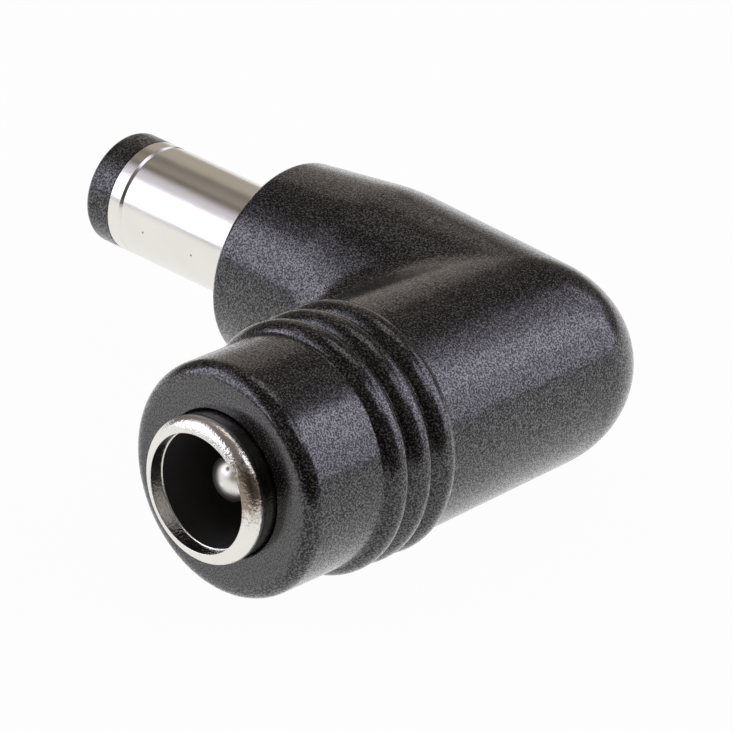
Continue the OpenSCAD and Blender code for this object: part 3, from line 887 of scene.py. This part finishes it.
def pale_floor(rgb):
    """White to the camera and in reflections, with a faint shadow; plain pale to other light."""
    material, bench = new_material("pale_floor")
    path = bench.add("ShaderNodeLightPath")
    seen = path.also("Is Camera Ray").most(path.also("Is Glossy Ray"))
    seen = seen.most(path.also("Is Transmission Ray"))
    whiteness = 0.97
    plain = bench.add("ShaderNodeBsdfDiffuse", None, {"Color": (*rgb, 1.0)})
    white = bench.add("ShaderNodeEmission", None, {"Color": (1, 1, 1, 1), "Strength": 1.0})
    mixed = bench.add("ShaderNodeMixShader", None, {0: seen * whiteness, 1: plain, 2: white})
    close_material(bench, mixed)
    return material


def lay_floor(stage):
    """A level sheet just under the adapter, which stops short of the camera."""
    half, drop = 1.5, 0.02 * MM
    point = crossing()
    ahead = way(stage.azimuth, 0.0)
    across = Vector((-ahead.y, ahead.x, 0.0))
    edge = Vector((point.x, point.y, -drop)) + ahead * stage.floor_reach
    corners = [edge - across * half, edge + across * half]
    corners += [corner - ahead * 2 * half for corner in reversed(corners)]
    mesh = bpy.data.meshes.new("floor")
    mesh.from_pydata(corners, [], [(0, 1, 2, 3)])
    mesh.materials.append(pale_floor(stage.floor))
    floor = bpy.data.objects.new("floor", mesh)
    bpy.context.scene.collection.objects.link(floor)


def glow(bench, rgb, strength):
    """A plain background light."""
    return bench.add("ShaderNodeBackground", None, {"Color": (*rgb, 1.0), "Strength": strength})


def light_room(stage):
    """White to the camera; to the adapter a faint room, dimmer on the camera's side."""
    world = bpy.data.worlds.new("studio")
    bpy.context.scene.world = world
    world.use_nodes = True
    world.node_tree.nodes.clear()
    bench = Bench(world.node_tree)
    path = bench.add("ShaderNodeLightPath")
    seen = path.also("Is Camera Ray").most(path.also("Is Transmission Ray"))
    dim_side, dim_from, dim_gain = (0.69, -0.715, 0.105), 0.866, 8.9
    gaze = bench.add("ShaderNodeTexCoord", out="Generated")
    facing = bench.add(
        "ShaderNodeVectorMath", {"operation": "DOT_PRODUCT"}, {0: gaze, 1: dim_side}, out="Value"
    )
    near = ((facing - dim_from) * dim_gain).held()
    room = glow(bench, stage.room, stage.room_strength)
    dim = glow(bench, stage.room, stage.dim_strength)
    white = glow(bench, (1, 1, 1), 1.0)
    unlit = bench.add("ShaderNodeMixShader", None, {0: near, 1: room, 2: dim})
    both = bench.add("ShaderNodeMixShader", None, {0: seen, 1: unlit, 2: white})
    bench.add("ShaderNodeOutputWorld", None, {"Surface": both})


def softbox(name, bearing, height, size, power, tint):
    """A wide and tall lamp at a bearing and height in degrees, aimed at the crossing."""
    lamp = bpy.data.lights.new(name, "AREA")
    lamp.shape = "RECTANGLE"
    lamp.size, lamp.size_y = size
    lamp.energy = power
    lamp.color = tint
    holder = bpy.data.objects.new(name, lamp)
    outward = way(math.radians(bearing), math.radians(height))
    holder.location = crossing() + outward * LAMP_DISTANCE
    holder.rotation_euler = outward.to_track_quat("Z", "Y").to_euler()
    bpy.context.scene.collection.objects.link(holder)


def aim_camera(stage):
    """The camera, far off with a long lens and rolled a little."""
    back = way(stage.azimuth, stage.elevation)
    level = (-back).cross(Vector((0, 0, 1))).normalized()
    steep = level.cross(-back)
    turn, rise = math.cos(stage.roll), math.sin(stage.roll)
    right, up = turn * level + rise * steep, turn * steep - rise * level
    eye = crossing() - right * stage.offset_right - up * stage.offset_up + back * stage.distance
    lens = bpy.data.cameras.new("camera")
    lens.sensor_width = 36.0
    lens.lens = stage.lens
    lens.clip_start, lens.clip_end = 0.01, 10.0
    camera = bpy.data.objects.new("camera", lens)
    camera.matrix_world = Matrix((
        (right.x, up.x, back.x, eye.x),
        (right.y, up.y, back.y, eye.y),
        (right.z, up.z, back.z, eye.z),
        (0, 0, 0, 1),
    ))
    bpy.context.scene.collection.objects.link(camera)
    bpy.context.scene.camera = camera


class ADAPTER_OT_set_stage(bpy.types.Operator):
    """Lays the floor, lights the room, hangs the lamps and points the camera"""

    bl_idname = "adapter.set_stage"
    bl_label = "Set stage"

    def execute(self, context):
        stage = context.scene.adapter_stage
        lay_floor(stage)
        light_room(stage)
        for lamp in LAMPS:
            softbox(*lamp)
        aim_camera(stage)
        context.scene.view_settings.view_transform = "Standard"
        return {"FINISHED"}


class ADAPTER_PT_panel(bpy.types.Panel):
    """Lists the adapter's steps and settings"""

    bl_idname = "ADAPTER_PT_panel"
    bl_label = "Right-angle DC adapter"
    bl_space_type = "VIEW_3D"
    bl_region_type = "UI"
    bl_category = "Adapter"

    def draw(self, context):
        scene = context.scene
        for step in STEPS:
            self.layout.operator(step.bl_idname)
        for group in (scene.adapter_form, scene.adapter_finish, scene.adapter_stage):
            box = self.layout.box()
            for name in group.__annotations__:
                box.prop(group, name)


STEPS = (
    ADAPTER_OT_mould_elbow,
    ADAPTER_OT_plate_metal,
    ADAPTER_OT_colour_insulators,
    ADAPTER_OT_finish_contacts,
    ADAPTER_OT_finish_wiring,
    ADAPTER_OT_set_stage,
)
GROUPS = (AdapterForm, AdapterFinish, AdapterStage)


def register():
    for item in (*GROUPS, *STEPS, ADAPTER_PT_panel):
        bpy.utils.register_class(item)
    bpy.types.Scene.adapter_form = bpy.props.PointerProperty(type=AdapterForm)
    bpy.types.Scene.adapter_finish = bpy.props.PointerProperty(type=AdapterFinish)
    bpy.types.Scene.adapter_stage = bpy.props.PointerProperty(type=AdapterStage)


def unregister():
    del bpy.types.Scene.adapter_stage
    del bpy.types.Scene.adapter_finish
    del bpy.types.Scene.adapter_form
    for item in reversed((*GROUPS, *STEPS, ADAPTER_PT_panel)):
        bpy.utils.unregister_class(item)


def main():
    register()
    bpy.ops.adapter.mould_elbow()
    bpy.ops.adapter.plate_metal()
    bpy.ops.adapter.colour_insulators()
    bpy.ops.adapter.finish_contacts()
    bpy.ops.adapter.finish_wiring()
    bpy.ops.adapter.set_stage()


if __name__ == "__main__":
    main()
